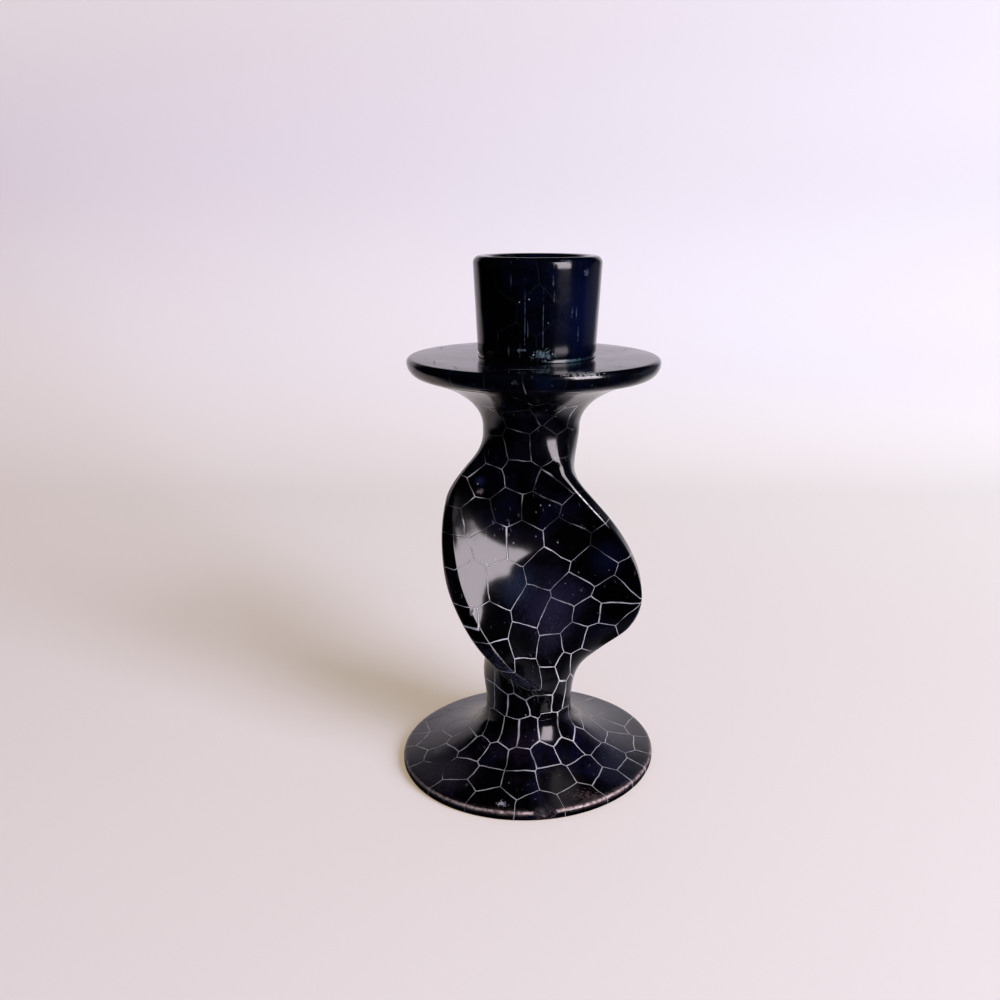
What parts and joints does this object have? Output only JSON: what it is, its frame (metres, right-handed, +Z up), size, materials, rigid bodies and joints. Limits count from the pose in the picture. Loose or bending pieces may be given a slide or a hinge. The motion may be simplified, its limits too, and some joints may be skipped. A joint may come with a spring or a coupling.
{
  "type": "taper candle holder",
  "caption": "Carved stone taper candle holder: round foot, twisted winged stem, round drip pan and tapered cup with a plain round socket.",
  "frame": {"origin": "centre of the foot's underside, on the surface that the holder stands on", "axes": "+Z up through the socket; +X to the right and +Y away from the viewer in the pictured view"},
  "size_m": [0.0764, 0.0768, 0.15],
  "materials": {
    "foot_stone": "polished and waxed, dyed dark, with fine pale scratched lines and a worn rim",
    "body_stone": "polished and waxed, dyed near-black with blue and violet patches and fine pale scratched lines",
    "pan_stone": "polished and waxed, dyed near-black blue, with fine scratched lines",
    "cup_stone": "polished and waxed, dyed blue-black, with faint scratched lines and vertical scratches"
  },
  "bodies": {
    "root": {"foot": "foot_stone", "twisted_body": "body_stone", "drip_pan": "pan_stone", "candle_cup": "cup_stone"}
  },
  "joints": []
}
